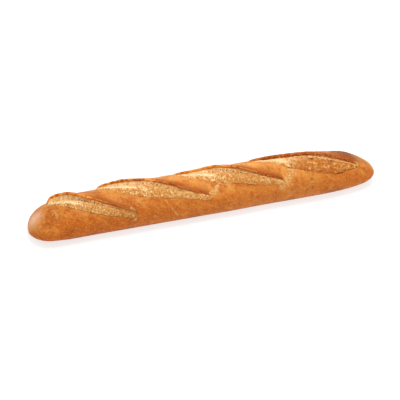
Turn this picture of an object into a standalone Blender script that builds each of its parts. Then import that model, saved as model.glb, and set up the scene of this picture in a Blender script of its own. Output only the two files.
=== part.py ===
"""A baguette: one long loaf with a flat base, two rounded tips and four slanting scores.

Each score opened in the oven into a long eye. Its lower edge lies against the side of the
loaf, and its upper edge curled up into a lip, the ear, that stands above the crumb.

The loaf lies along X with its base on Z = 0 and the origin under its middle. Lengths are
in metres, and places round the loaf are in degrees down from its ridge, with the side
that the scores run down to at -Y. The loaf starts as a sphere with many rings, each of
which is moved to its place along the loaf.
"""

import math
from dataclasses import dataclass

import bmesh
import bpy
import numpy as np
from mathutils import Vector, noise

# The whole loaf
LENGTH = 0.525
WIDTH = 0.0804
HEIGHTS = (0.044, 0.0506, 0.0543, 0.051, 0.0549, 0.0515, 0.0383)  # at even steps along it
TIP_HEIGHTS = (0.0083, 0.0187)  # of the blunt and the long tip's points over the base
WAIST = 0.42  # share of the height where the loaf is widest
BASE_FLATTENING = 1.22  # how far the round of the underside would reach through the base
BASE_CORNER = 0.002

# Reach of each tip's rounding, as a share of the length, and how square it is
BLUNT_TIP = {"width": (0.057, 2.0), "height": (0.150, 1.85), "base": (0.102, 1.2)}
LONG_TIP = {"width": (0.208, 2.9), "height": (0.085, 1.5), "base": (0.180, 2.6)}
BELLY = 0.05  # how much narrower the loaf is at its ends than in its middle

# Soft dents and swellings of hand-rolled dough
DENT_DEPTH = 0.0011
DENT_SIZE = 0.040

# The scores
CRUMB_STEP = 0.0006  # from the crust down to the crumb at the lower edge
CRUMB_SWELL = 0.0012  # how far the crumb rises in the middle of the eye
CRUMB_DEPTH = 0.0036  # how deep the crumb lies where it goes under the ear
EAR_REACH = 0.012  # how far behind its edge the ear has sunk back into the crust
EDGE_WIDTH = 0.0034  # a step at an edge takes this much
METRES_PER_DEGREE = 0.00068  # round the upper side of the loaf
START_ROUND, END_ROUND = 0.10, 0.035  # shares of a cut in which its eye opens and closes
WIDE_OPEN = 28  # degrees from which an eye has its full relief

# The mesh
RINGS = 112
AROUND = 44
TIP_RINGS = 0.075  # share of the rings that each tip gets
TIP_SHARE = 0.05  # share of the length that they cover
CROWDING = 0.45  # how much closer the lines run on top than round the base
TURNS = 2.2  # the lines wind round the loaf, so that on top they follow the scores,
TIGHTENING = 0.3  # and wind faster towards the blunt tip, where the scores are steeper

CRUST_COLOUR = (0.58, 0.24, 0.055, 1.0)
CRUST_ROUGHNESS = 0.55


@dataclass
class Score:
    """One cut, from its start near the ridge to its end down the side.

    What varies along it is given at even steps from start to end.
    """

    start: tuple  # metres along the loaf, degrees down from the ridge
    end: tuple
    below: tuple  # degrees that the eye opens below the cut
    above: tuple  # and above it
    ear: tuple  # height of the lip in metres


SCORES = (
    Score(
        start=(-0.229, -26),
        end=(-0.112, 80),
        below=(3, 21, 26, 22, 13.5, 5),
        above=(10, 18, 12, 10.5, 10, 9.5),
        ear=(0.0086, 0.0080, 0.0050, 0.0024, 0.0010, 0.0004),
    ),
    Score(
        start=(-0.156, -28),
        end=(-0.002, 65),
        below=(6, 24, 27.5, 20, 11, 3.5),
        above=(10, 20, 25, 18, 11, 9.5),
        ear=(0.0042, 0.0050, 0.0040, 0.0034, 0.0018, 0.0004),
    ),
    Score(
        start=(-0.040, -28),
        end=(0.109, 60),
        below=(12, 20, 22, 18.5, 14.5, 4.5),
        above=(10, 20, 25, 21, 11, 8),
        ear=(0.0012, 0.0036, 0.0068, 0.0050, 0.0016, 0.0004),
    ),
    Score(
        start=(0.074, -28),
        end=(0.230, 36),
        below=(16, 26.5, 33.5, 39.5, 31, 8),
        above=(0, 14, 16, 18, 12, 5),
        ear=(0.0012, 0.0024, 0.0030, 0.0038, 0.0020, 0.0004),
    ),
)


def rounded(share, reach, power):
    """0 at a tip, and 1 from reach on."""
    left = np.clip(1 - share / reach, 0, 1)
    return (1 - left**power) ** (1 / power)


def rounding(share, which):
    """Both tips' rounding of the width, the height or the base."""
    return rounded(share, *BLUNT_TIP[which]) * rounded(1 - share, *LONG_TIP[which])


def smooth_curve(share, values):
    """A smooth curve through values at even steps from 0 to 1."""
    steps = len(values) - 1
    values = np.array([2 * values[0] - values[1], *values, 2 * values[-1] - values[-2]])
    first = np.clip(np.floor(share * steps), 0, steps - 1).astype(int)
    t = share * steps - first
    a, b, c, d = (values[first + i] for i in range(4))
    return b + t * ((c - a) + t * ((2 * a - 5 * b + 4 * c - d) + t * (3 * (b - c) + d - a))) / 2


def station(ring):
    """Share of the length for a share of the rings, which crowd together at the tips."""
    turn = math.pi / 2 / TIP_RINGS
    near = TIP_SHARE * (1 - np.cos(turn * np.clip(ring, 0, TIP_RINGS)))
    far = 1 - TIP_SHARE * (1 - np.cos(turn * np.clip(1 - ring, 0, TIP_RINGS)))
    middle = TIP_SHARE + (ring - TIP_RINGS) * (1 - 2 * TIP_SHARE) / (1 - 2 * TIP_RINGS)
    return np.where(ring < TIP_RINGS, near, np.where(ring > 1 - TIP_RINGS, far, middle))


def flat_from(height, corner):
    """A height that is nowhere under 0, with a round corner."""
    blend = (height + corner) ** 2 / (4 * corner)
    return np.where(height > corner, height, np.where(height < -corner, 0, blend))


def plain_loaf(share, down):
    """The loaf with no scores: points, and the middle of the section that each lies on."""
    half_width = WIDTH / 2 * (1 - BELLY * (2 * share - 1) ** 2) * rounding(share, "width")
    height = smooth_curve(share, HEIGHTS)
    tip = TIP_HEIGHTS[0] + share * (TIP_HEIGHTS[1] - TIP_HEIGHTS[0])
    top = tip + (height - tip) * rounding(share, "height")
    base = tip * (1 - rounding(share, "base"))
    waist = base + WAIST * (top - base)
    above = np.maximum(np.cos(down), 0) * (top - waist)
    below = np.minimum(np.cos(down), 0) * (waist - base) * BASE_FLATTENING
    x = (share - 0.5) * LENGTH
    y = -half_width * np.sin(down)
    corner = BASE_CORNER * rounding(share, "base") + 1e-6
    z = base + flat_from(waist + above + below - base, corner)
    return np.stack([x, y, z], axis=-1), np.stack([x, 0 * y, waist], axis=-1)


def dents(points):
    """Soft unevenness of the dough."""
    return DENT_DEPTH * np.array([noise.noise(Vector(p) / DENT_SIZE) for p in points])


def step(distance):
    """A soft step from 0 to 1 where distance passes 0."""
    t = np.clip(distance / EDGE_WIDTH + 0.5, 0, 1)
    return t * t * (3 - 2 * t)


def closing(along):
    """Rounds off an eye's two ends: 0 at and beyond them, and 1 between."""
    start = 1 - np.clip(1 - along / START_ROUND, 0, 1) ** 2
    end = 1 - np.clip(1 - (1 - along) / END_ROUND, 0, 1) ** 2
    return np.sqrt(start * end)


def relief(score, x, degrees):
    """How far the score raises or sinks the crust."""
    along = (x - score.start[0]) / (score.end[0] - score.start[0])
    cut = score.start[1] + along * (score.end[1] - score.start[1])
    inside = np.clip(along, 0, 1)
    low = smooth_curve(inside, score.below) * closing(along)
    high = smooth_curve(inside, score.above) * closing(along)
    opened = np.clip((low + high) / WIDE_OPEN, 0, 1)
    from_low = (cut + low - degrees) * METRES_PER_DEGREE
    behind_ear = (cut - high - degrees) * METRES_PER_DEGREE
    across = np.clip(from_low / ((low + high) * METRES_PER_DEGREE + 1e-9), 0, 1)
    crumb = CRUMB_SWELL * np.sin(math.pi * across) - CRUMB_STEP - CRUMB_DEPTH * across**3
    ear = smooth_curve(inside, score.ear) * np.exp(-((behind_ear / EAR_REACH) ** 2))
    in_eye = step(from_low) * (1 - step(behind_ear))
    return opened * (crumb * in_eye + ear * step(behind_ear))


def loaf_points(ring, turn):
    """Points of the scored loaf for shares of the rings and angles round them."""
    share = station(ring)
    wound = turn + 2 * math.pi * TURNS * (share + TIGHTENING * share * (1 - share))
    down = wound - CROWDING * np.sin(wound)
    points, middles = plain_loaf(share, down)
    degrees = (np.degrees(down) + 180) % 360 - 180
    height = dents(points)
    for score in SCORES:
        height = height + relief(score, points[:, 0], degrees)
    outward = points - middles
    outward /= np.linalg.norm(outward, axis=1, keepdims=True) + 1e-9
    on_side = np.clip(points[:, 2:] / (WAIST * WIDTH / 2), 0, 1)
    return points + outward * height[:, None] * on_side


def loaf_mesh():
    """A sphere's rings and lines, moved to the loaf's surface."""
    shape = bmesh.new()
    bmesh.ops.create_uvsphere(shape, u_segments=AROUND, v_segments=RINGS, radius=1.0)
    ball = np.array([vertex.co for vertex in shape.verts])
    ring = np.arccos(np.clip(-ball[:, 2], -1, 1)) / math.pi
    points = loaf_points(ring, np.arctan2(ball[:, 1], ball[:, 0]))
    middle = (points.min(axis=0) + points.max(axis=0)) / 2
    points -= (middle[0], middle[1], points[:, 2].min())
    for vertex, point in zip(shape.verts, points):
        vertex.co = point
    bmesh.ops.recalc_face_normals(shape, faces=shape.faces)
    mesh = bpy.data.meshes.new("loaf")
    shape.to_mesh(mesh)
    shape.free()
    mesh.shade_smooth()
    return mesh


def crust_material():
    material = bpy.data.materials.new("crust")
    material.use_nodes = True
    shader = material.node_tree.nodes["Principled BSDF"]
    shader.inputs["Base Color"].default_value = CRUST_COLOUR
    shader.inputs["Roughness"].default_value = CRUST_ROUGHNESS
    shader.inputs["Metallic"].default_value = 0.0
    return material


def main():
    for thing in list(bpy.data.objects):
        bpy.data.objects.remove(thing)
    parts = bpy.data.collections.new("baguette")
    bpy.context.scene.collection.children.link(parts)
    loaf = bpy.data.objects.new("loaf", loaf_mesh())
    loaf.data.materials.append(crust_material())
    parts.objects.link(loaf)


main()
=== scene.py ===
"""The looks of a baguette: a baked crust with four ears, crumb in its scores, and a plain stage.

The file is laid out as an add-on and is run as a script. The crust is one closed skin that
stands for the CAD loaf. Each score has a bed of crumb of its own, which lies in a trough of
the crust and reaches under the ear.

Lengths are in metres in the frame's axes: the loaf lies along X, on Z = 0, and its scores
run down towards -Y. Places round the loaf are in degrees down from its ridge.
"""

import itertools
import math
from collections import namedtuple

import bmesh
import bpy
import numpy as np
from bpy.props import FloatProperty, FloatVectorProperty, IntProperty, PointerProperty
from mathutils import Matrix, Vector, noise

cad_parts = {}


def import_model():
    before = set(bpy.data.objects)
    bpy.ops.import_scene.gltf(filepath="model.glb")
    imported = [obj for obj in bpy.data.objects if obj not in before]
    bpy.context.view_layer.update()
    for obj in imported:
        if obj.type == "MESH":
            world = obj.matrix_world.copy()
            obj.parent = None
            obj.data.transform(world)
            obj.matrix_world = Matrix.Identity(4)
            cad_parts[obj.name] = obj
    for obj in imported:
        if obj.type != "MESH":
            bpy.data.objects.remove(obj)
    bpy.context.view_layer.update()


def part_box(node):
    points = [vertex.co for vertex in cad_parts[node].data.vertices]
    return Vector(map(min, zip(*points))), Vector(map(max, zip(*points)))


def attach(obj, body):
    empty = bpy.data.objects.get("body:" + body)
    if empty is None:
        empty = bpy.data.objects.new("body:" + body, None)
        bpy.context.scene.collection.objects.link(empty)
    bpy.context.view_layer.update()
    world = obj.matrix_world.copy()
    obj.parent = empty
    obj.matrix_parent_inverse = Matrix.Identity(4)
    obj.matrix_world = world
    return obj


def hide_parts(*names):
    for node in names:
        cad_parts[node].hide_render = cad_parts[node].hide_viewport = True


bl_info = {
    "name": "Baguette",
    "version": (1, 0, 0),
    "blender": (4, 5, 0),
    "location": "View3D > Sidebar > Baguette",
    "description": "Models the crust, ears and crumb of a baguette around its packed CAD loaf",
    "category": "Add Mesh",
}

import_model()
LOW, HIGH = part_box("loaf")
LENGTH = HIGH.x - LOW.x
MIDDLE_X = (LOW.x + HIGH.x) / 2
MIDDLE_Y = (LOW.y + HIGH.y) / 2

# The form of the loaf, in shares of the CAD loaf's sides
WIDTH = 0.989 * (HIGH.y - LOW.y)
HEIGHTS = [share * HIGH.z for share in (0.758, 0.872, 0.936, 0.880, 0.946, 0.888, 0.660)]
TIP_HEIGHTS = 0.143 * HIGH.z, 0.322 * HIGH.z
WAIST = 0.42  # share of the height where the loaf is widest
BASE_FLATTENING = 1.22  # how far the round of the underside would reach through the base
BASE_CORNER, LEAST_CORNER = 0.002, 1e-6
BELLY = 0.05  # how much narrower the loaf is at its ends than in its middle
DENT_SIZE = 0.040
LATTICE = 32  # the noise repeats after this many lumps
NOISE_STEP = 0.37  # each seed shifts the noise by so many lumps
DEGREE = 0.00068  # metres round the upper side of the loaf
TINY = 1e-9  # keeps a division from 0

# Reach of each tip's rounding, as a share of the length, and how square it is
BLUNT_TIP = {"width": (0.057, 2.0), "height": (0.150, 1.85), "base": (0.102, 1.2)}
LONG_TIP = {"width": (0.208, 2.9), "height": (0.085, 1.5), "base": (0.180, 2.6)}

# A score runs from start to end, each metres along the loaf and degrees down its side. The
# other values are at even steps along this cut: the degrees that the eye opens below and above
# it, and the height of the ear's lip. From the roll on, as a share of the cut, the lip is
# rolled in and no longer sharp. Edge is how thick the crust is there, and toast is how brown
# the crumb is at the cut's far end.
Score = namedtuple("Score", "start end below above ear roll edge toast")
SCORES = (
    Score(
        (-0.229, -26), (-0.112, 80), (3, 21, 26, 22, 13.5, 5), (10, 18, 12, 10.5, 10, 9.5),
        (0.0086, 0.0080, 0.0050, 0.0024, 0.0010, 0.0004), 0.50, 0.0034, 0.1,
    ),
    Score(
        (-0.156, -28), (-0.002, 65), (6, 24, 27.5, 20, 11, 3.5), (10, 20, 25, 18, 11, 9.5),
        (0.0042, 0.0050, 0.0040, 0.0034, 0.0018, 0.0004), 0.50, 0.0034, 0.0,
    ),
    Score(
        (-0.040, -28), (0.109, 60), (12, 20, 22, 18.5, 14.5, 4.5), (10, 20, 25, 21, 11, 8),
        (0.0012, 0.0036, 0.0068, 0.0050, 0.0016, 0.0004), 0.50, 0.0036, 0.15,
    ),
    Score(
        (0.074, -28), (0.230, 36), (16, 26.5, 33.5, 39.5, 31, 8), (0, 14, 16, 18, 12, 5),
        (0.0012, 0.0024, 0.0030, 0.0038, 0.0020, 0.0004), 0.55, 0.0052, 1.0,
    ),
)
START_ROUND, END_ROUND = 0.10, 0.035  # shares of a cut in which its eye opens and closes
EAR_START = 0.06  # share of a cut in which its ear comes up
OPEN = 28  # degrees from which an eye counts as wide open
OPENING_POWER = 0.7  # how fast it counts as open below that
ROLL_SHARE = 0.3  # share of a cut over which its ear goes from sharp to rolled in
LEAST_LIP = 0.0004  # an ear's height where it has none of its own
EDGE_SHARES = 1.1, 0.5  # the edge's thickness at the start, and how much of it goes by the end
CRUMB_DIP = 2.6  # how late the crumb dips on its way to the ear
CRUMB_SINK = 0.0004  # how far it lies below the crust at an eye's edges

# How many times faster than the eye opens these reach their full size
EAR_GROWTH, EDGE_GROWTH, ZONE_GROWTH, FOLD_GROWTH = 3, 1.5, 2.5, 2
LEAST_ZONE = 0.05

# How the torn edges stray, in layers of noise: a height, the size of its lumps and a seed
TEAR_NOISE = ((1.0, 0.0055, 11), (0.9, 0.0026, 12))
LOWER_EDGE_NOISE = ((0.0006, 0.0050, 13), (0.0005, 0.0020, 14))
LOWER_EDGE_TEAR = 0.3  # share of the ear's tear that the lower edge follows
TOASTED_NOISE = ((0.0022, 0.0120, 15),)
TEAR_CREST, TEAR_HALF, TEAR_HEIGHT = 0.1, 0.5, 0.75  # shares of the ear's zone, and of the tear

# The lower edge of an eye: the crust's fall into the trough, and the roll in front of it
TROUGH_FALL = 0.0014
SEAM_HEIGHT, SEAM_SPREAD = 0.0005, 0.0030

# How far the colours at a score reach, in metres, and as shares of the cut or the ear's zone.
# Here and below, a pair is the middle and the width of a soft edge.
RIM_REACH, TOASTED_RIM_REACH, RIM_FROM = 0.0030, 0.0014, -0.05
FOLD_REACH = 0.0080
INNER_FROM, INNER_TO = (0.0004, 0.0012), (-0.10, 0.12)
EDGE_REACH = 0.0013
YOUNG_SHARE, YOUNG_FROM = 0.22, -0.05
YOUNG_REACH, YOUNG_BEHIND = (0.008, 0.014), 0.003

# The section across an ear, from the trough in front of it, round its edge and back over its
# top. First comes the place of the mesh's line, and then two shapes of ear, sharp and rolled
# in: how far behind the ear's edge that line goes, and its share of the climb up the inside
# wall and of the edge's thickness. Places and distances are shares of the zone's half width.
EAR_ZONE = 0.0055
ROLLED_ZONE = 0.0085
EAR_SECTION = (
    (-1.00, -1.00, 0.00, 0.00, -1.00, 0.00, 0.00),
    (-0.60, -0.35, 0.00, 0.00, -0.55, 0.10, 0.00),
    (-0.35, 0.06, 0.10, 0.00, -0.32, 0.45, 0.00),
    (-0.16, 0.10, 0.60, 0.00, -0.12, 0.80, 0.05),
    (-0.02, 0.00, 1.00, 0.00, 0.00, 1.00, 0.20),
    (0.08, -0.20, 1.00, 0.20, 0.10, 1.00, 0.40),
    (0.18, -0.24, 1.00, 0.65, 0.22, 1.00, 0.62),
    (0.28, -0.12, 1.00, 0.95, 0.36, 1.00, 0.80),
    (0.42, 0.12, 1.00, 1.03, 0.55, 1.00, 0.92),
    (1.00, 1.00, 1.00, 1.00, 1.00, 1.00, 1.00),
)

# The same for the crumb where it climbs the ear's inside, from the bed's back edge
CRUMB_SECTION = (
    (0.00, -0.85, 0.05, 0.00, -0.60, 0.06, 0.00),
    (0.20, -0.52, 0.24, 0.00, -0.46, 0.26, 0.00),
    (0.45, -0.28, 0.56, 0.00, -0.36, 0.42, 0.00),
    (0.70, -0.12, 0.90, 0.00, -0.26, 0.52, 0.00),
    (0.82, 0.12, 1.05, 0.00, -0.10, 0.56, 0.00),
    (1.00, 0.60, 0.80, 0.00, 0.30, 0.30, 0.00),
)

# Pale torn streaks of the crust, each from one place to another
Streak = namedtuple("Streak", "start end width strength")
STREAKS = (
    Streak((-0.1195, 56), (-0.1160, 84), 0.0034, 1.0),
    Streak((-0.0050, 60), (0.0030, 46), 0.0065, 0.9),
    Streak((0.0020, 52), (0.0140, 28), 0.0052, 1.0),
    Streak((0.1080, 66), (0.1270, 26), 0.0120, 0.80),
    Streak((0.2235, 42), (0.2290, 28), 0.0055, 1.0),
    Streak((-0.0700, 51), (-0.0540, 96), 0.0020, 0.75),
    Streak((0.1310, 71), (0.1080, 113), 0.0055, 0.5),
    Streak((0.1560, 62), (0.1380, 84), 0.0028, 0.5),
    Streak((-0.2260, 6), (-0.2240, 34), 0.0045, 0.6),
)
STREAK_STRAY, STREAK_THINNING = 0.5, 0.15  # shares of a streak's width
STREAK_STRAY_SIZE = 0.0030
TORN_HEIGHT, TORN_SIZE = 0.0005, 0.0024

# Relief of the crust
LUMP_HEIGHT, LUMP_SIZE = 0.00035, 0.014
WRINKLE_SIZES = (0.0040, 0.009, 0.009), 0.0030

# The blunt tip's wrinkles run round a point of its near side, down to a line near the base
TIP_CENTRE = (LOW.x + 0.024, MIDDLE_Y - 0.025, 0.52 * HIGH.z)
RIPPLE_STEP, RIPPLE_HEIGHT = 0.0042, 0.00030
RIPPLE_STRAY, RIPPLE_STRAY_SIZE = 0.0016, 0.012
RIPPLE_END = LOW.x + 0.014, 0.014
RIPPLE_FROM, RIPPLE_TO = (40, 40), 130  # degrees

# A pale, pinkish painted sheen lies on the blunt tip round this point
TIP_SHEEN_CENTRE = (LOW.x + 0.008, MIDDLE_Y + 0.007, 0.46 * HIGH.z)
TIP_SHEEN_SPREAD = 0.017

# Browner crust, and golden crust that is partly painted light: a place along the loaf and a
# spread, and then two soft edges in degrees. The far side's golden top is a painted sheen.
BROWN_PATCH = (0.218, 0.024), (26, 20), (-46, 36)
FAR_SHEEN_PATCH = (0.020, 0.120), (8, 30), (-80, 30)
FAR_SHEEN = 3.6
# Golden crust round a place along the loaf, lighter there partly as painted light
GOLD_CENTRE, GOLD_SPREAD = 0.090, 0.140

# Deep holes in the last bed of crumb
HOLES = ((0.1626, 4), (0.1746, 6), (0.1916, 16))
HOLE_RADIUS, HOLE_RIM, HOLE_DEPTH, HOLE_MARK = 0.0025, 1.25, 0.0020, 3

# The crumb's thickness, and how far its margin is tucked under the crust
BED_THICKNESS = 0.0050
TUCK_DEPTH, TUCK_FROM = 0.0022, (0.0004, 0.0016)
BED_TEAR = 0.6  # share of an ear's tear that the crumb under it follows

# Where a bed's colours change: along its cut, and across it in shares of its lines
TOASTED_FROM, BORDER_FROM, TAIL_FROM = (0.45, 0.5), (0.35, 0.2), (0.55, 0.5)
SKIN_TO, SHELF_TO, RIDGE_TO, START_TO = (0.22, 0.20), (0.50, 0.3), (0.37, 0.22), 0.60
SKIN_WIDTH, BORDER_WIDTH = (0.38, 0.24), 0.24
SHELF, TOASTED_SHELF, SHELF_FADE, SHELF_SHADE = 0.22, 0.06, 0.07, 0.13
RIDGE_BEFORE_SHELF, RIDGE_WIDTH, TOASTED_RIDGE_WIDTH = 0.10, 0.11, 0.12

# Relief of the crumb: heights and sizes
CRUMB_LUMPS, CRUMB_GRAINS = (0.0005, 0.005), (0.00030, 0.0015)
PORE_SPACING, PORE_RADIUS, PORE_PATCHES = 0.0030, 0.42, 0.0045
PORE_ROW, PORE_ROW_WIDTH, PORE_ROW_FROM = 0.01, 0.095, (0.22, 0.2)
PORE_ROW_SHIFT, PORE_ROW_SHIFT_FROM = 0.08, (0.45, 0.3)
PORES_IN_ROW, PORES_ELSEWHERE, PORE_FADE = 2.1, 1.5, 1.2
BUBBLE_SPACING, BUBBLE_STRAY, BUBBLE_HEIGHT, VEIN_WIDTH = 0.0070, (0.0034, 0.004), 0.0012, 0.30
BUBBLES_FROM = 0.4, 0.3
STRAND_STEP, STRAND_SLANT, STRAND_HEIGHT, STRAND_END = 0.0030, 0.3, 0.00022, 0.45

# The meshes
CRUST_AROUND, CRUST_RINGS = 180, 545
CROWDING = 0.55  # how much closer the crust's lines run on top than round the base
TURNS = 2.6  # those lines wind round the loaf, so that on top they follow the ears
TIGHTENING = 0.3  # and wind faster towards the blunt tip
TIP_RINGS, TIP_SHARE = 0.06, 0.04  # each tip's share of the rings and of the length
BED_AROUND, BED_RINGS = 130, 360
BED_TOP = 0.90  # share of a bed's lines that run over its top
BED_WALL = 0.76  # share of those where the crumb starts to climb the ear's inside
BED_MARGIN = 0.0018  # how far a bed goes on under the crust

# The finishes: sizes of their patterns, and how some are stretched along turned axes
CRUST_PATCHES, CRUST_SPOTS, CRUST_SPECKS, CRUST_GRAIN = 0.022, 0.0085, 0.0040, 0.0021
CRUST_STREAKS, CRUST_STREAK_WAY = 0.0065, ((3.2, 1, 1), (0, 0.42, -0.42))
CRUMB_PATCHES, CRUMB_SPOTS, CRUMB_SPECKS, CRUMB_GRAIN = 0.0090, 0.0027, 0.0017, 0.0013
CRUMB_WAY = (1, 1.4, 1.4), (0, 0, -0.25)
CRUMB_STRANDS, CRUMB_STRAND_WAY = 0.0024, ((1, 6, 6), (0, 0, -0.12))
CRUST_SPECULAR, CRUST_ROUGHNESS, CRUST_BUMP, SPECK_BUMP = 0.10, 0.50, 0.0014, 0.0006
CRUMB_SPECULAR, CRUMB_ROUGHNESS, CRUMB_BUMP, GRAIN_BUMP = 0.12, 0.70, 0.0011, 0.0006

# The stage, with lengths as shares of the loaf's own
FLOOR_SIZE = 12
FLOOR_SHADE, FLOOR_GLOW, FLOOR_ROUGHNESS = 0.38, 0.70, 0.9
LAMP_PLACE, LAMP_SIZE = (0.24, 0.1, 2.1), 1.4
AIM_LEFT, AIM_BELOW = 0.0158, 0.0310
LENS, FARTHEST = 117.9, 20


# ---- settings


def length(name, description, default, least=0.0):
    """A setting in metres."""
    return FloatProperty(
        name=name, description=description, default=default, min=least, unit="LENGTH"
    )


class BaguetteShape(bpy.types.PropertyGroup):
    """Sizes of the crust, the ears and the crumb."""

    dent_depth: length("Dents", "Depth of the soft dents of hand-rolled dough", 0.0011)
    wrinkle_height: length("Wrinkles", "Height of the fine wrinkles in the crust", 0.00016)
    ear_reach: length(
        "Ear reach", "Distance behind an ear's edge in which it sinks back", 0.014, 0.001
    )
    ear_raggedness: length("Ragged ears", "How far an ear's torn edge strays", 0.0017)
    trough_depth: length("Trough", "Depth of the crust's trough under the crumb", 0.0024, 0.0005)
    crumb_swell: length("Crumb swell", "Height of the crumb in the middle of a score", 0.0014)
    crumb_depth: length("Crumb depth", "Depth of the crumb where it goes under an ear", 0.0034)
    pore_depth: length("Pores", "Depth of the small pores in the crumb", 0.0007)
    seed: IntProperty(
        name="Seed", description="Another number gives another batch of the same bread",
        default=3, min=0,
    )


def colour(name, description, default):
    """A colour setting."""
    return FloatVectorProperty(
        name=name, description=description, default=default, size=3, subtype="COLOR", min=0, max=1
    )


class BaguetteColours(bpy.types.PropertyGroup):
    """Linear colours of the crust and the crumb."""

    # From the ridge down to the base the crust darkens, partly by its own colour and partly as
    # painted light and shade
    crust_top: colour("Crust, top", "Golden crust along the ridge", (0.500, 0.166, 0.018))
    crust_side: colour("Crust, side", "Orange-brown crust of the sides", (0.490, 0.112, 0.009))
    crust_low: colour("Crust, low", "Browner crust", (0.340, 0.068, 0.005))
    # Dark crust, which at the folds also stands for painted shade
    crust_dark: colour("Crust, dark", "Crust where it folds into a score", (0.270, 0.045, 0.005))
    crust_brown: colour("Crust, brown", "Crust behind the last ear", (0.230, 0.066, 0.010))
    crust_base: colour("Crust, base", "Crust of the underside", (0.250, 0.068, 0.009))
    crust_pale: colour("Crust, pale", "Pale specks and wrinkles", (0.650, 0.260, 0.052))
    # Golden crust, which also stands for a painted sheen on the far side's top
    crust_gold_and_sheen: colour("Crust, gold", "Golden crust of the far side's top", (0.780, 0.350, 0.080))
    # Pale pinkish colour painted on the blunt tip as its sheen
    crust_tip_sheen: colour("Crust, cap", "Floury crust of the blunt tip", (0.780, 0.450, 0.280))
    ear_edge: colour("Ear edge", "Burnt edge of an ear", (0.720, 0.210, 0.017))
    ear_young: colour("Ear start", "Orange start of an ear's edge", (0.720, 0.215, 0.016))
    # Cream crumb, also painted on as highlight along the crest and at a score's start
    crumb_cream_and_highlight: colour("Crumb, cream", "Palest grains of the crumb", (0.940, 0.740, 0.420))
    crumb_pale: colour("Crumb, pale", "Pale crumb", (0.730, 0.440, 0.160))
    crumb_tan: colour("Crumb, tan", "Crumb that has taken some colour", (0.520, 0.245, 0.060))
    crumb_toasted: colour("Crumb, toasted", "Toasted spots of the crumb", (0.460, 0.150, 0.018))
    crumb_wall: colour("Crumb, wall", "Crumb under the ears", (0.740, 0.370, 0.105))
    crumb_pore: colour("Crumb, pores", "Shaded walls of the pores", (0.200, 0.115, 0.065))
    # Near-black, painted shade deep in the few large holes
    crumb_hole_shade: colour("Crumb, holes", "Depth of the few large holes", (0.030, 0.014, 0.006))


class BaguetteStudio(bpy.types.PropertyGroup):
    """The camera and the light."""

    camera_height: FloatProperty(
        name="Camera height", description="Angle that the camera looks down at",
        default=math.radians(33), subtype="ANGLE",
    )
    camera_turn: FloatProperty(
        name="Camera turn", description="Angle from square-on towards the blunt tip",
        default=math.radians(17.8), subtype="ANGLE",
    )
    camera_distance: length("Camera distance", "From the camera to the loaf", 3.62 * LENGTH)
    key_power: FloatProperty(
        name="Key light", description="Power of the large soft light", default=9.0, min=0.0,
    )
    sky_strength: FloatProperty(
        name="Sky", description="Strength of the white surroundings", default=0.80, min=0.0,
    )


# ---- the form of the loaf


def rounded(share, reach, power):
    """0 at a tip, and 1 from reach on."""
    left = np.clip(1 - share / reach, 0, 1)
    return (1 - left**power) ** (1 / power)


def rounding(share, which):
    """Both tips' rounding of the width, the height or the base."""
    return rounded(share, *BLUNT_TIP[which]) * rounded(1 - share, *LONG_TIP[which])


def smooth_curve(share, values):
    """A smooth curve through values at even steps from 0 to 1."""
    steps = len(values) - 1
    values = np.array([2 * values[0] - values[1], *values, 2 * values[-1] - values[-2]])
    first = np.clip(np.floor(share * steps), 0, steps - 1).astype(int)
    t = share * steps - first
    a, b, c, d = (values[first + i] for i in range(4))
    return b + t * ((c - a) + t * ((2 * a - 5 * b + 4 * c - d) + t * (3 * (b - c) + d - a))) / 2


def station(ring):
    """Share of the length for a share of the rings, which crowd together at the tips."""
    turn = math.pi / 2 / TIP_RINGS
    near = TIP_SHARE * (1 - np.cos(turn * np.clip(ring, 0, TIP_RINGS)))
    far = 1 - TIP_SHARE * (1 - np.cos(turn * np.clip(1 - ring, 0, TIP_RINGS)))
    middle = TIP_SHARE + (ring - TIP_RINGS) * (1 - 2 * TIP_SHARE) / (1 - 2 * TIP_RINGS)
    return np.where(ring < TIP_RINGS, near, np.where(ring > 1 - TIP_RINGS, far, middle))


def flat_from(height, corner):
    """A height that is nowhere under 0, with a round corner."""
    blend = (height + corner) ** 2 / (4 * corner)
    return np.where(height > corner, height, np.where(height < -corner, 0, blend))


def plain_loaf(x, degrees):
    """The loaf with no scores: its points, and the way out of the crust at each."""
    share = np.clip((x - MIDDLE_X) / LENGTH + 0.5, 0, 1)
    down = np.radians(degrees)
    half_width = WIDTH / 2 * (1 - BELLY * (2 * share - 1) ** 2) * rounding(share, "width")
    height = smooth_curve(share, HEIGHTS)
    tip = TIP_HEIGHTS[0] + share * (TIP_HEIGHTS[1] - TIP_HEIGHTS[0])
    top = tip + (height - tip) * rounding(share, "height")
    base = tip * (1 - rounding(share, "base"))
    waist = base + WAIST * (top - base)
    above = np.maximum(np.cos(down), 0) * (top - waist)
    below = np.minimum(np.cos(down), 0) * (waist - base) * BASE_FLATTENING
    y = MIDDLE_Y - half_width * np.sin(down)
    corner = BASE_CORNER * rounding(share, "base") + LEAST_CORNER
    z = base + flat_from(waist + above + below - base, corner)
    points = np.stack([x, y, z], axis=-1)
    outward = points - np.stack([x, 0 * y + MIDDLE_Y, waist], axis=-1)
    return points, outward / (np.linalg.norm(outward, axis=1, keepdims=True) + TINY)


def rough(points, size, seed):
    """Smooth noise from -1 to 1, with lumps of a size, or of three sizes along X, Y and Z."""
    lattice = np.random.default_rng(seed).uniform(-1, 1, (LATTICE, LATTICE, LATTICE))
    places = points / np.array(size) + NOISE_STEP * seed
    first = np.floor(places).astype(int)
    t = places - first
    t = t * t * (3 - 2 * t)
    total = np.zeros(len(points))
    for corner in itertools.product((0, 1), repeat=3):
        weight = np.prod(np.where(corner, t, 1 - t), axis=1)
        x, y, z = ((first + corner) % LATTICE).T
        total += weight * lattice[x, y, z]
    return total


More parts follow.
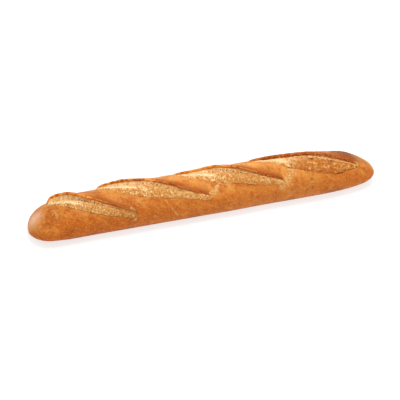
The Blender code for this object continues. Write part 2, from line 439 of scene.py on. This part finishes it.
def layered(points, layers):
    """Noise in layers, each of a height, a size of its lumps and a seed."""
    return sum(height * rough(points, size, seed) for height, size, seed in layers)


def soft_step(distance, width):
    """A soft step from 0 to 1 where distance passes 0."""
    t = np.clip(distance / width + 0.5, 0, 1)
    return t * t * (3 - 2 * t)


def after(place, edge):
    """A soft step from 0 to 1 where place passes an edge, given as its middle and its width."""
    middle, width = edge
    return soft_step(place - middle, width)


def before(place, edge):
    """The same, from 1 to 0."""
    middle, width = edge
    return soft_step(middle - place, width)


def hump(distance, spread):
    """A soft hump: 1 where distance is 0, and next to nothing from twice the spread on."""
    return np.exp(-((distance / spread) ** 2))


# ---- the scores


def closing(along):
    """Rounds off an eye's two ends: 0 at and beyond them, and 1 between."""
    start = 1 - np.clip(1 - along / START_ROUND, 0, 1) ** 2
    end = 1 - np.clip(1 - (1 - along) / END_ROUND, 0, 1) ** 2
    return np.sqrt(start * end)


def eye_at(score, x):
    """A score at places along the loaf: how far along it they are, its edges and its opening."""
    along = (x - score.start[0]) / (score.end[0] - score.start[0])
    cut = score.start[1] + along * (score.end[1] - score.start[1])
    inside = np.clip(along, 0, 1)
    low = cut + smooth_curve(inside, score.below) * closing(along)
    high = cut - smooth_curve(inside, score.above) * closing(along)
    return along, low, high, np.clip((low - high) / OPEN, 0, 1) ** OPENING_POWER


def ear_height(score, along, opened):
    """Height of an ear, which comes up fast at its start."""
    inside = np.clip(along, 0, 1)
    coming = 1 - np.clip(1 - inside / EAR_START, 0, 1) ** 2
    growth = np.clip(EAR_GROWTH * opened, 0, 1)
    return smooth_curve(inside, score.ear) * coming**0.5 * growth + opened * LEAST_LIP


def edge_thickness(score, along, opened):
    """Thickness of the crust at an ear's edge, which tapers along it."""
    whole, lost = EDGE_SHARES
    taper = whole - lost * np.clip(along, 0, 1)
    return score.edge * taper * np.clip(EDGE_GROWTH * opened, 0, 1)


def crumb_level(shape, across, opened):
    """Height of the crumb over the plain loaf, from the lower edge, 0, to the ear, 1."""
    swell = shape.crumb_swell * np.sin(math.pi * across)
    return opened * (swell - shape.crumb_depth * across**CRUMB_DIP) - CRUMB_SINK


def section_at(section, place, sharp):
    """How far back a section is at a place, and its shares of the wall and of the edge."""
    lines, *columns = np.array(section).T
    shapes = [np.interp(place, lines, column) for column in columns]
    return [sharp * one + (1 - sharp) * other for one, other in zip(shapes[:3], shapes[3:])]


def ear_zone(opened, sharp):
    """Half the width of the mesh that is drawn into an ear's section."""
    growth = np.clip(ZONE_GROWTH * opened, LEAST_ZONE, 1)
    return (sharp * EAR_ZONE + (1 - sharp) * ROLLED_ZONE) * growth


def raggedness(shape, points, opened):
    """How far an ear's torn edge strays."""
    return shape.ear_raggedness * opened * layered(points, TEAR_NOISE)


def open_score(score, shape, x, degrees, points):
    """What a score does to the crust: a shift in degrees, a height, and its marks."""
    along, low, high, opened = eye_at(score, x)
    tear = raggedness(shape, points, opened)
    behind = (high - degrees) * DEGREE
    inside = (low - degrees) * DEGREE + LOWER_EDGE_TEAR * tear
    inside += opened * layered(points, LOWER_EDGE_NOISE)
    inside += score.toast * opened * layered(points, TOASTED_NOISE)
    width = (low - high) * DEGREE + TINY
    sharp = soft_step(score.roll - along, ROLL_SHARE)
    trough = crumb_level(shape, np.clip(inside / width, 0, 1), opened)
    trough -= opened * shape.trough_depth
    trough *= soft_step(inside, TROUGH_FALL)
    lip = ear_height(score, along, opened)
    edge = edge_thickness(score, along, opened)
    zone = ear_zone(opened, sharp)
    place = behind / zone
    in_zone = np.abs(place) < 1
    back, wall, rim = section_at(EAR_SECTION, place, sharp)
    back = np.where(in_zone, back * zone, behind)
    over = 1 - np.abs(np.clip((place - TEAR_CREST) / TEAR_HALF, -1, 1))
    back -= np.where(in_zone, over * sharp * tear, 0)
    top = np.where(behind > 0, hump(np.maximum(back, 0), shape.ear_reach), 1) * lip
    top -= edge * (1 - rim)
    height = trough + wall * (top - trough) + over * in_zone * tear * TEAR_HEIGHT
    seam = SEAM_HEIGHT * opened * hump(inside, SEAM_SPREAD) * (inside < 0)
    shift = np.where(opened > 0, (behind - back) / DEGREE, 0)
    young = hump(along, YOUNG_SHARE) * (along > YOUNG_FROM)
    from_young = np.maximum(-inside, behind + YOUNG_BEHIND)
    rim_reach = RIM_REACH + TOASTED_RIM_REACH * score.toast
    folding = np.clip(FOLD_GROWTH * opened, 0, 1) * (1 - sharp)
    marks = {
        "ear": opened**0.5 * hump(np.maximum(back, 0), rim_reach) * (place > RIM_FROM),
        # Near a rolled fold the crust is painted darker, partly as shade
        "rolled": folding * np.exp(-np.abs(back) / FOLD_REACH),
        "inner": opened**0.3 * after(inside, INNER_FROM) * before(place, INNER_TO),
        "burnt": score.toast * (opened > 0),
        "edge": opened * (1 - young) * hump(inside, EDGE_REACH),
        "young": young * before(from_young, YOUNG_REACH),
    }
    return shift, height + seam, marks


def streaks_at(x, degrees, stray):
    """How torn and pale the crust is."""
    torn = np.zeros(len(x))
    here = np.stack([x, degrees * DEGREE], axis=1)
    for streak in STREAKS:
        start = np.array([streak.start[0], streak.start[1] * DEGREE])
        step = np.array([streak.end[0], streak.end[1] * DEGREE]) - start
        share = np.clip((here - start) @ step / (step @ step), 0, 1)
        away = np.linalg.norm(here - start - share[:, None] * step, axis=1)
        away += streak.width * (STREAK_STRAY * stray + STREAK_THINNING)
        torn = np.maximum(torn, streak.strength * hump(away, streak.width))
    return torn


# ---- pieces


def moved_sphere(name, around, rings, place):
    """A closed mesh: a sphere whose vertices place moves, given a share of the rings and an angle.

    Place gives the points and a dictionary of marks, which become attributes.
    """
    shape = bmesh.new()
    bmesh.ops.create_uvsphere(shape, u_segments=around, v_segments=rings, radius=1.0)
    ball = np.array([vertex.co for vertex in shape.verts])
    ring = np.arccos(np.clip(-ball[:, 2], -1, 1)) / math.pi
    points, marks = place(ring, np.arctan2(ball[:, 1], ball[:, 0]))
    for vertex, point in zip(shape.verts, points):
        vertex.co = point
    bmesh.ops.recalc_face_normals(shape, faces=shape.faces)
    mesh = bpy.data.meshes.new(name)
    shape.to_mesh(mesh)
    shape.free()
    mesh.shade_smooth()
    for mark, values in marks.items():
        attribute = mesh.attributes.new(mark, "FLOAT", "POINT")
        attribute.data.foreach_set("value", values.astype(np.float32))
    piece = bpy.data.objects.new(name, mesh)
    bpy.context.scene.collection.objects.link(piece)
    return piece


def crust_points(shape, ring, turn):
    """The crust's points and marks for shares of the rings and angles round them."""
    share = station(ring)
    x = MIDDLE_X + (share - 0.5) * LENGTH
    wound = turn + 2 * math.pi * TURNS * (share + TIGHTENING * share * (1 - share))
    degrees = np.degrees(wound - CROWDING * np.sin(wound))
    degrees = (degrees + 180) % 360 - 180
    points, _ = plain_loaf(x, degrees)
    shift, height = np.zeros(len(x)), np.zeros(len(x))
    marks = {}
    for score in SCORES:
        moved, raised, marked = open_score(score, shape, x, degrees, points)
        shift += moved
        height += raised
        for mark, values in marked.items():
            marks[mark] = np.maximum(marks.get(mark, 0), values)
    points, outward = plain_loaf(x, degrees + shift)
    height += shape.dent_depth * rough(points, DENT_SIZE, 0)
    height += LUMP_HEIGHT * rough(points, LUMP_SIZE, shape.seed)
    skin = 1 - marks["inner"]
    for number, size in enumerate(WRINKLE_SIZES, 1):
        height += skin * shape.wrinkle_height * rough(points, size, shape.seed + number)
    on_side = np.clip(points[:, 2] / (WAIST * WIDTH / 2), 0, 1)
    from_tip = np.linalg.norm(points - TIP_CENTRE, axis=1)
    from_tip += RIPPLE_STRAY * rough(points, RIPPLE_STRAY_SIZE, shape.seed + 4)
    at_tip = before(x, RIPPLE_END) * after(degrees, RIPPLE_FROM) * (degrees < RIPPLE_TO)
    ripple = np.sin(2 * math.pi * from_tip / RIPPLE_STEP)
    marks["foot"], marks["ring"] = at_tip, at_tip * np.clip(ripple, 0, 1)
    height += at_tip * RIPPLE_HEIGHT * ripple
    # A painted sheen round a point of the blunt tip
    marks["tip_sheen"] = hump(np.linalg.norm(points - TIP_SHEEN_CENTRE, axis=1), TIP_SHEEN_SPREAD)
    marks["brown"] = patch(x, degrees, *BROWN_PATCH)
    # Painted light: a sheen on the far side's golden top, and crust lighter round a place along
    # the loaf
    far_sheen = patch(x, degrees, *FAR_SHEEN_PATCH)
    marks["gold_and_light"] = hump(x - GOLD_CENTRE, GOLD_SPREAD) + FAR_SHEEN * far_sheen
    # Nearness to the ridge, where the crust is painted lighter, partly as light from above
    marks["top"] = (1 + np.cos(np.radians(degrees))) / 2
    stray = rough(points, STREAK_STRAY_SIZE, shape.seed + 6)
    marks["torn"] = streaks_at(x, degrees, stray)
    height += marks["torn"] * TORN_HEIGHT * rough(points, TORN_SIZE, shape.seed + 5)
    return points + outward * (height * on_side)[:, None], marks


def patch(x, degrees, place, near, far):
    """A soft patch of the crust: round a place along the loaf, between two soft edges."""
    centre, spread = place
    return hump(x - centre, spread) * before(degrees, near) * after(degrees, far)


def bed_points(score, shape, ring, turn):
    """A crumb bed's points and marks: over its top from the lower edge to the ear, and back."""
    share = (1 - np.cos(math.pi * ring)) / 2
    start, end = score.start[0] - 0.5 * BED_MARGIN, score.end[0] + BED_MARGIN
    x = start + share * (end - start)
    along, low, high, opened = eye_at(score, x)
    widened = np.sqrt(closing(share))
    loop = turn / (2 * math.pi) % 1
    on_top = loop < BED_TOP
    across = np.where(on_top, loop / BED_TOP, (1 - loop) / (1 - BED_TOP))
    sharp = soft_step(score.roll - along, ROLL_SHARE)
    zone = ear_zone(opened, sharp)
    foot = -section_at(CRUMB_SECTION, 0, sharp)[0] * zone
    front = low + widened * BED_MARGIN / DEGREE
    back = high + foot / DEGREE
    degrees = front + np.minimum(across / BED_WALL, 1) * (back - front)
    width = (low - high) * DEGREE + TINY
    inside = (low - degrees) * DEGREE
    level = crumb_level(shape, np.clip(inside / width, 0, 1), opened)
    outside = np.maximum(-inside, np.maximum(x - score.end[0], score.start[0] - x))
    level -= TUCK_DEPTH * after(outside, TUCK_FROM)

    # From here the crumb climbs the inside of the ear
    climb = np.clip((across - BED_WALL) / (1 - BED_WALL), 0, 1)
    behind, rise, _ = section_at(CRUMB_SECTION, climb, sharp)
    lip = ear_height(score, along, opened)
    trough = crumb_level(shape, np.clip(1 + foot / width, 0, 1), opened)
    wall = trough + rise * (lip - edge_thickness(score, along, opened) - trough)
    tear = raggedness(shape, plain_loaf(x, high)[0], opened)
    setback = behind * zone - BED_TEAR * sharp * tear * climb
    degrees = np.where(climb > 0, high - setback / DEGREE, degrees)
    level = np.where(climb > 0, wall, level)

    points, outward = plain_loaf(x, degrees)
    places = points + outward * level[:, None]
    depth, pores, veins = crumb_relief(places, degrees, shape, along, across, score.toast)
    under = np.sin(math.pi * across) * BED_THICKNESS
    height = np.where(on_top, level + opened**0.5 * depth, level - under * widened)
    marks = bed_marks(score, along, across, climb)
    marks |= {"pore": pores * on_top, "vein": veins}
    return points + outward * height[:, None], marks


def bed_marks(score, along, across, climb):
    """Where a bed is pale, toasted or crusty: along its cut, and across it up to the ear."""
    shelf = across - BED_WALL + (SHELF + TOASTED_SHELF * score.toast)
    shelf_shade = SHELF_SHADE * soft_step(shelf, SHELF_FADE) * before(along, SHELF_TO)
    ridge_width = RIDGE_WIDTH + TOASTED_RIDGE_WIDTH * score.toast
    return {
        "toast": score.toast * after(along, TOASTED_FROM),
        "wall": np.maximum(climb, shelf_shade),
        "skin": score.toast * before(along, SKIN_TO) * before(across, SKIN_WIDTH),
        "border": score.toast * after(along, BORDER_FROM) * hump(across, BORDER_WIDTH),
        "start": np.clip(1 - along / START_TO, 0, 1),
        "tail": after(along, TAIL_FROM),
        # The crest in front of an ear's wall, painted paler as a highlight
        "ridge": hump(shelf + RIDGE_BEFORE_SHELF, ridge_width) * before(along, RIDGE_TO),
    }


def crumb_relief(points, degrees, shape, along, across, toast):
    """Relief of the crumb, and how deep in a pore and how near a bubble's wall each point is."""
    lumps = CRUMB_LUMPS[0] * rough(points, CRUMB_LUMPS[1], shape.seed + 20)
    grains = CRUMB_GRAINS[0] * rough(points, CRUMB_GRAINS[1], shape.seed + 21)
    nearest = [noise.voronoi(Vector(point) / PORE_SPACING)[0][0] for point in points]
    row = BED_WALL + PORE_ROW + PORE_ROW_SHIFT * after(along, PORE_ROW_SHIFT_FROM)
    at_row = hump(across - row, PORE_ROW_WIDTH) * after(along, PORE_ROW_FROM)
    patches = rough(points, PORE_PATCHES, shape.seed + 22)
    where = soft_step(patches + PORES_IN_ROW * at_row - PORES_ELSEWHERE, PORE_FADE)
    pores = np.clip(1 - np.array(nearest) / PORE_RADIUS, 0, 1) * where
    stray, size = BUBBLE_STRAY
    strays = [rough(points, size, shape.seed + 30 + axis) for axis in range(3)]
    strayed = points + stray * np.stack(strays, axis=1)
    bubbles = [noise.voronoi(Vector(point) / BUBBLE_SPACING)[0][:2] for point in strayed]
    nearer, farther = np.array(bubbles).T
    veins = np.clip(1 - (farther - nearer) / VEIN_WIDTH, 0, 1)
    bulge = BUBBLE_HEIGHT * toast * after(along, BUBBLES_FROM) * (0.5 - nearer**2)
    slanted = points[:, 0] - STRAND_SLANT * points[:, 1]
    strands = np.sin(2 * math.pi * slanted / STRAND_STEP)
    strands *= STRAND_HEIGHT * np.clip(1 - along / STRAND_END, 0, 1)
    depth = shape.pore_depth * pores**0.7
    for x, place in HOLES:
        away = np.hypot(points[:, 0] - x, (degrees - place) * DEGREE) / HOLE_RADIUS
        hole = np.clip(HOLE_RIM - away, 0, 1)
        depth = np.maximum(depth, HOLE_DEPTH * hole**0.5)
        pores = np.maximum(pores, HOLE_MARK * hole)
    return lumps + grains + strands + bulge - depth, pores, veins


# ---- materials


class Value:
    """A number that nodes work out. Arithmetic on it adds Math nodes."""

    def __init__(self, finish, socket):
        self.finish, self.socket = finish, socket

    def math(self, operation, *numbers, clamp=False):
        """A Math node on numbers, of which this is one."""
        settings = {"operation": operation, "use_clamp": clamp}
        return self.finish.value("ShaderNodeMath", settings, dict(enumerate(numbers)))

    def __add__(self, other):
        return self.math("ADD", self, other)

    def __sub__(self, other):
        return self.math("SUBTRACT", self, other)

    def __rsub__(self, other):
        return self.math("SUBTRACT", other, self)

    def __mul__(self, other):
        return self.math("MULTIPLY", self, other)

    __radd__ = __add__
    __rmul__ = __mul__

    def clamped(self):
        """This number, held between 0 and 1."""
        return self.math("ADD", self, 0.0, clamp=True)

    def between(self, low, high):
        """0 up to low, 1 from high on, and a smooth rise between them."""
        settings = {"interpolation_type": "SMOOTHSTEP"}
        sockets = {"Value": self, "From Min": low, "From Max": high}
        return self.finish.value("ShaderNodeMapRange", settings, sockets)


class Finish:
    """A material and its nodes."""

    def __init__(self, name, roughness):
        self.material = bpy.data.materials.new(name)
        self.material.use_nodes = True
        self.tree = self.material.node_tree
        self.shader = self.tree.nodes["Principled BSDF"]
        self.shader.inputs["Roughness"].default_value = roughness
        self.places = self.node("ShaderNodeTexCoord").outputs["Object"]
        self.base = None

    def feed(self, socket, given):
        """Links a Value or a socket to a socket, or sets it to a number or a colour."""
        given = given.socket if isinstance(given, Value) else given
        if isinstance(given, bpy.types.NodeSocket):
            self.tree.links.new(given, socket)
        elif socket.type == "RGBA":
            socket.default_value = (*given[:3], 1.0)
        else:
            socket.default_value = given

    def node(self, kind, settings=None, sockets=None):
        """Any node: its settings are set first, and then its sockets, by name or by number."""
        node = self.tree.nodes.new(kind)
        for setting, given in (settings or {}).items():
            setattr(node, setting, given)
        for name, given in (sockets or {}).items():
            self.feed(node.inputs[name], given)
        return node

    def value(self, kind, settings=None, sockets=None):
        """The first output of a node, as a number."""
        return Value(self, self.node(kind, settings, sockets).outputs[0])

    def mark(self, name):
        """One of the piece's own attributes."""
        node = self.node("ShaderNodeAttribute", {"attribute_name": name})
        return Value(self, node.outputs["Fac"])

    def stretched(self, lengths, turn):
        """Object coordinates in which patterns are so many times longer along turned axes."""
        sockets = {"Vector": self.places, "Scale": lengths, "Rotation": turn}
        return self.node("ShaderNodeMapping", {"vector_type": "TEXTURE"}, sockets).outputs[0]

    def mottle(self, size, detail=2.0, rough=0.5, places=None, offset=0.0):
        """Noise around 0.5, with patches of a size."""
        sockets = {"Vector": places or self.places, "Scale": 1 / size}
        sockets |= {"W": offset, "Detail": detail, "Roughness": rough}
        return self.value("ShaderNodeTexNoise", {"noise_dimensions": "4D"}, sockets)

    def mix(self, share, one, other):
        """One colour, and a share of the other."""
        sockets = {0: share, 6: one, 7: other}
        return self.node("ShaderNodeMix", {"data_type": "RGBA"}, sockets).outputs[2]

    def bumps(self, height, depth, below=None):
        """A normal for heights from 0 to 1 that stand for so many metres."""
        sockets = {"Height": height, "Distance": depth}
        if below:
            sockets["Normal"] = below
        return self.node("ShaderNodeBump", None, sockets).outputs[0]

    def cover(self, share, colour):
        """Covers a share of the base colour with another."""
        self.base = self.mix(share, self.base, colour)

    def done(self, roughness, normal):
        """Links the finish to its shader, and gives the material."""
        self.feed(self.shader.inputs["Base Color"], self.base)
        self.feed(self.shader.inputs["Roughness"], roughness)
        self.feed(self.shader.inputs["Normal"], normal)
        return self.material


def crust_finish(colours):
    """Baked crust: golden on top, browner down the sides, mottled, burnt at the ears' edges."""
    finish = Finish("crust", 0.5)
    finish.shader.inputs["Specular IOR Level"].default_value = CRUST_SPECULAR
    patches = finish.mottle(CRUST_PATCHES, 3)
    spots = finish.mottle(CRUST_SPOTS, 3, 0.6, offset=3.0)
    specks = finish.mottle(CRUST_SPECKS, 3, 0.65, offset=5.0)
    grain = finish.mottle(CRUST_GRAIN, 2, 0.6, offset=9.0)
    rolled_way = finish.stretched(*CRUST_STREAK_WAY)
    streaks = finish.mottle(CRUST_STREAKS, 3, 0.6, rolled_way, 7.0)
    ear, young, torn = finish.mark("ear"), finish.mark("young"), finish.mark("torn")
    rolled = finish.mark("rolled")

    # Browned from the base to the ridge, with golden and darker patches on top. Lighter towards
    # the ridge partly by its own colour and partly as painted light from above.
    upper = finish.mark("top")
    top = upper + (patches - 0.5) * 1.3 + (spots - 0.5) * 0.7
    finish.base = colours.crust_base
    finish.cover(top.between(0.02, 0.16), colours.crust_low)
    finish.cover(top.between(0.10, 0.60), colours.crust_side)
    finish.cover(top.between(0.60, 1.15), colours.crust_top)
    # Painted light: a golden sheen on the far side's top, and crust lighter round a place along
    # the loaf
    gold_and_light = finish.mark("gold_and_light") * (0.08 + patches * 0.24)
    finish.cover(gold_and_light.clamped(), colours.crust_gold_and_sheen)
    golden = (upper - 0.6).between(0.0, 0.3) * streaks.between(0.44, 0.57)
    finish.cover(golden * 0.45, colours.crust_pale)
    on_top = (upper - 0.7).between(0.0, 0.2)
    finish.cover(on_top * patches.between(0.49, 0.60) * 0.25, colours.crust_gold_and_sheen)
    finish.cover(on_top * patches.between(0.50, 0.38) * 0.60, colours.crust_low)

    # Fine mottling all over
    finish.cover(specks.between(0.50, 0.36) * 0.40, colours.crust_low)
    finish.cover(spots.between(0.52, 0.64) * 0.55, colours.crust_low)
    finish.cover(grain.between(0.50, 0.64) * 0.50, colours.crust_pale)
    finish.cover(streaks.between(0.53, 0.70) * 0.50, colours.crust_pale)

    # The two tips: a browner patch by the long one, and wrinkles and a painted sheen on the blunt
    # one
    brown = finish.mark("brown") * (0.6 + spots * 0.9)
    finish.cover(brown.clamped(), colours.crust_brown)
    finish.cover(finish.mark("foot") * 0.5, colours.crust_low)
    finish.cover(finish.mark("ring") * 0.6, colours.crust_pale)
    tip_sheen = finish.mark("tip_sheen") + (spots - 0.5) * 0.5
    finish.cover(tip_sheen.between(0.05, 1.05) * (0.25 + specks), colours.crust_tip_sheen)

    # Round the scores: darker folds, partly painted shade where the crust rolls in, scabs where
    # the crust has torn, and browner lower edges
    finish.cover(rolled.between(0.05, 0.50) * 0.75, colours.crust_low)
    folded = (rolled + (specks - 0.5)).between(0.42, 0.95)
    finish.cover(folded * 0.85, colours.crust_dark)
    finish.cover((young * (0.4 + specks)).between(0.45, 0.95) * 0.7, colours.crumb_tan)
    scab = finish.mix(grain.between(0.42, 0.58), colours.crumb_tan, colours.crumb_pale)
    scab = finish.mix(specks.between(0.44, 0.34) * 0.6 * torn, scab, colours.crumb_pore)
    finish.cover((torn * (0.2 + spots * 1.6)).between(0.20, 0.90) * 0.75, scab)
    edge = (finish.mark("edge") * (0.5 + spots)).between(0.25, 0.9)
    finish.cover(edge * 0.5, colours.crust_dark)

    # The ears' edges, and the crust under the crumb
    orange = (young + (spots - 0.5) * 1.5).between(0.2, 0.8)
    rim = finish.mix(orange, colours.ear_edge, colours.ear_young)
    flecks = (grain + (spots - 0.5) * 0.8).between(0.46, 0.58)
    rim = finish.mix(flecks * 0.80, rim, colours.crust_gold_and_sheen)
    dark = (specks + (spots - 0.5) * 1.2).between(0.48, 0.36)
    rim = finish.mix(dark * 0.70, rim, colours.crust_dark)
    # Darker at a rolled fold, partly painted shade
    rim = finish.mix(rolled.between(0.50, 1.00) * 0.8, rim, colours.crust_dark)
    burnt = finish.mark("burnt")
    rim = finish.mix(burnt * spots.between(0.36, 0.50) * 0.9, rim, colours.crust_dark)
    rim = finish.mix(burnt * grain.between(0.54, 0.62) * 0.7, rim, colours.crust_pale)
    finish.cover((ear + (specks - 0.5) * 0.8).between(0.30, 0.60), rim)
    inner = finish.mix(spots.between(0.42, 0.58), colours.crumb_pale, colours.crumb_tan)
    finish.cover(finish.mark("inner"), inner)
    roughness = CRUST_ROUGHNESS + (spots - 0.5) * 0.25 + (specks - 0.5) * 0.15
    fine = finish.bumps(specks, SPECK_BUMP)
    return finish.done(roughness, finish.bumps(spots, CRUST_BUMP, fine))


def crumb_finish(colours):
    """Open crumb: cream and tan with toasted spots, pale veins and shaded pores."""
    finish = Finish("crumb", 0.75)
    finish.shader.inputs["Specular IOR Level"].default_value = CRUMB_SPECULAR
    patches = finish.mottle(CRUMB_PATCHES, 2, 0.6)
    down = finish.stretched(*CRUMB_WAY)
    spots = finish.mottle(CRUMB_SPOTS, 2, 0.55, down, 2.0)
    specks = finish.mottle(CRUMB_SPECKS, 2, 0.55, down, 6.0)
    grains = finish.mottle(CRUMB_GRAIN, 1, 0.5, offset=4.0)
    strands = finish.mottle(CRUMB_STRANDS, 2, 0.5, finish.stretched(*CRUMB_STRAND_WAY), 8.0)
    start, wall, tail = finish.mark("start"), finish.mark("wall"), finish.mark("tail")
    ridge, toast, vein = finish.mark("ridge"), finish.mark("toast"), finish.mark("vein")

    # Pale to tan, with toasted spots, and strands at the start of a score
    # Paler on the crest and at a score's start, partly as a painted highlight
    shade = (patches - 0.5) * 1.4 + (spots - 0.5) * 2.2 + (0.80 - start * 0.22 + tail * 0.20)
    shade = shade + toast * 0.5 - ridge * 0.5
    finish.base = colours.crumb_pale
    finish.cover(shade.between(0.30, 0.75), colours.crumb_tan)
    orange = spots + (patches - 0.5) * 0.5 + toast * 0.24 - ridge * 0.10
    finish.cover(orange.between(0.49, 0.56) * 0.85, colours.crumb_toasted)
    striped = strands.between(0.48, 0.55) * start.between(0.05, 0.5)
    finish.cover(striped * 0.75, colours.crumb_toasted)

    # The palest grains, most of them on the crest of the crumb and at a score's start, partly as a
    # painted highlight
    light = specks - (orange - 0.5) * 0.5
    light = light + ridge * 0.04 + start * 0.05
    creamy = 0.46 + ridge * 0.3 + start * 0.18 - toast * 0.25
    finish.cover(light.between(0.54, 0.66) * creamy, colours.crumb_cream_and_highlight)
    # A painted highlight along the crest
    crest_highlight = (ridge * (0.10 + strands * 0.8 + specks)).between(0.50, 0.95)
    finish.cover(crest_highlight * 0.65, colours.crumb_cream_and_highlight)

    # The last score: toasted, crusty at its lower edge, with crust across its narrow start
    finish.cover(toast * 0.82, colours.crumb_toasted)
    finish.cover(finish.mark("border") * 0.75, colours.crust_low)
    finish.cover(toast * spots.between(0.46, 0.56) * 0.8, colours.crust_low)
    skin = finish.mix(strands.between(0.46, 0.56) * 0.5, colours.crust_side, colours.crust_gold_and_sheen)
    finish.cover(finish.mark("skin") * 0.85, skin)

    # Veins between the bubbles, the wall under the ear, and the pores, with painted shade deep in
    # the large holes
    vein = vein * (patches * 2.6 + specks * 1.2 - 1.2)
    finish.cover(vein.between(0.2, 1.0) * (0.45 + toast * 0.35), colours.crumb_pale)
    finish.cover(grains.between(0.46, 0.36) * 0.65, colours.crumb_toasted)
    climb = finish.mix(strands.between(0.44, 0.54) * 0.8, colours.crumb_wall, colours.crumb_cream_and_highlight)
    climb = finish.mix(grains.between(0.48, 0.38) * 0.5, climb, colours.crumb_toasted)
    climb = finish.mix(wall.between(0.45, 0.80) * 0.5, climb, colours.ear_edge)
    finish.cover(wall.between(0.02, 0.20) * 0.75, climb)
    pore = finish.mark("pore") * 2.0 + (specks - 0.5) * 0.5
    finish.cover(pore.between(0.08, 0.35) * 0.95, colours.crumb_pore)
    # Painted shade deep in the large holes
    finish.cover(finish.mark("pore").between(0.9, 1.4), colours.crumb_hole_shade)
    fine = finish.bumps(grains, GRAIN_BUMP)
    roughness = CRUMB_ROUGHNESS + (spots - 0.5) * 0.2
    return finish.done(roughness, finish.bumps(spots, CRUMB_BUMP, fine))


# ---- operators


class BAGUETTE_OT_crust(bpy.types.Operator):
    """Model the crust and its ears"""

    bl_idname = "baguette.crust"
    bl_label = "Crust and ears"

    def execute(self, context):
        shape, colours = context.scene.baguette_shape, context.scene.baguette_colours
        crust = moved_sphere(
            "crust", CRUST_AROUND, CRUST_RINGS, lambda ring, turn: crust_points(shape, ring, turn)
        )
        crust.data.materials.append(crust_finish(colours))
        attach(crust, "root")
        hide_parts("loaf")
        return {"FINISHED"}


class BAGUETTE_OT_crumb(bpy.types.Operator):
    """Fill each score with its bed of crumb"""

    bl_idname = "baguette.crumb"
    bl_label = "Crumb beds"

    def execute(self, context):
        shape, colours = context.scene.baguette_shape, context.scene.baguette_colours
        finish = crumb_finish(colours)
        for number, score in enumerate(SCORES, 1):
            bed = moved_sphere(
                f"crumb_{number}", BED_AROUND, BED_RINGS,
                lambda ring, turn, score=score: bed_points(score, shape, ring, turn),
            )
            bed.data.materials.append(finish)
            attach(bed, "root")
        return {"FINISHED"}


class BAGUETTE_OT_stage(bpy.types.Operator):
    """Set out the floor, the light and the camera"""

    bl_idname = "baguette.stage"
    bl_label = "Stage"

    def execute(self, context):
        studio = context.scene.baguette_studio
        lay_floor()
        light_stage(context.scene, studio)
        context.scene.camera = place_camera(studio)
        return {"FINISHED"}


def lay_floor():
    """A wide white floor, which glows a little so that it stays white."""
    shape = bmesh.new()
    bmesh.ops.create_grid(shape, x_segments=1, y_segments=1, size=FLOOR_SIZE * LENGTH)
    mesh = bpy.data.meshes.new("floor")
    shape.to_mesh(mesh)
    shape.free()
    floor = bpy.data.objects.new("floor", mesh)
    finish = Finish("floor", FLOOR_ROUGHNESS)
    finish.tree.nodes.remove(finish.places.node)
    sockets = finish.shader.inputs
    sockets["Base Color"].default_value = (FLOOR_SHADE, FLOOR_SHADE, FLOOR_SHADE, 1.0)
    sockets["Emission Color"].default_value = (1.0, 1.0, 1.0, 1.0)
    sockets["Emission Strength"].default_value = FLOOR_GLOW
    floor.data.materials.append(finish.material)
    bpy.context.scene.collection.objects.link(floor)


def light_stage(scene, studio):
    """White surroundings, and one large soft light above the loaf."""
    world = bpy.data.worlds.new("surroundings")
    world.use_nodes = True
    sky = world.node_tree.nodes["Background"]
    sky.inputs["Color"].default_value = (1.0, 1.0, 1.0, 1.0)
    sky.inputs["Strength"].default_value = studio.sky_strength
    scene.world = world
    key = bpy.data.lights.new("key", "AREA")
    key.shape, key.size = "DISK", LAMP_SIZE * LENGTH
    key.energy = studio.key_power
    lamp = bpy.data.objects.new("key", key)
    scene.collection.objects.link(lamp)
    lamp.location = Vector(LAMP_PLACE) * LENGTH
    lamp.rotation_euler = (-lamp.location).to_track_quat("-Z", "Y").to_euler()
    scene.view_settings.view_transform = "Standard"


def place_camera(studio):
    """A long lens from above the blunt tip's side, aimed a little below the middle of the loaf."""
    height, turn = studio.camera_height, studio.camera_turn
    level = math.cos(height)
    view = Vector((math.sin(turn) * level, math.cos(turn) * level, -math.sin(height)))
    right = Vector((math.cos(turn), -math.sin(turn), 0))
    up = right.cross(view)
    camera = bpy.data.objects.new("camera", bpy.data.cameras.new("camera"))
    bpy.context.scene.collection.objects.link(camera)
    camera.data.lens = LENS
    aim = Vector((MIDDLE_X, MIDDLE_Y, HIGH.z / 2))
    aim = aim - AIM_LEFT * LENGTH * right - AIM_BELOW * LENGTH * up
    camera.location = aim - view * studio.camera_distance
    camera.rotation_euler = view.to_track_quat("-Z", "Y").to_euler()
    camera.data.clip_end = FARTHEST
    return camera


class BAGUETTE_PT_panel(bpy.types.Panel):
    """Settings and steps of the baguette"""

    bl_label = "Baguette"
    bl_idname = "BAGUETTE_PT_panel"
    bl_space_type = "VIEW_3D"
    bl_region_type = "UI"
    bl_category = "Baguette"

    def draw(self, context):
        for group in GROUPS:
            box = self.layout.box()
            for setting in GROUPS[group].__annotations__:
                box.prop(getattr(context.scene, group), setting)
        for step in STEPS:
            self.layout.operator(step.bl_idname)


GROUPS = {
    "baguette_shape": BaguetteShape,
    "baguette_colours": BaguetteColours,
    "baguette_studio": BaguetteStudio,
}
STEPS = (BAGUETTE_OT_crust, BAGUETTE_OT_crumb, BAGUETTE_OT_stage)
CLASSES = (*GROUPS.values(), *STEPS, BAGUETTE_PT_panel)


def register():
    for cls in CLASSES:
        bpy.utils.register_class(cls)
    for name, group in GROUPS.items():
        setattr(bpy.types.Scene, name, PointerProperty(type=group))


def unregister():
    for name in GROUPS:
        delattr(bpy.types.Scene, name)
    for cls in reversed(CLASSES):
        bpy.utils.unregister_class(cls)


def main():
    register()
    bpy.ops.baguette.crust()
    bpy.ops.baguette.crumb()
    bpy.ops.baguette.stage()


if __name__ == "__main__":
    main()
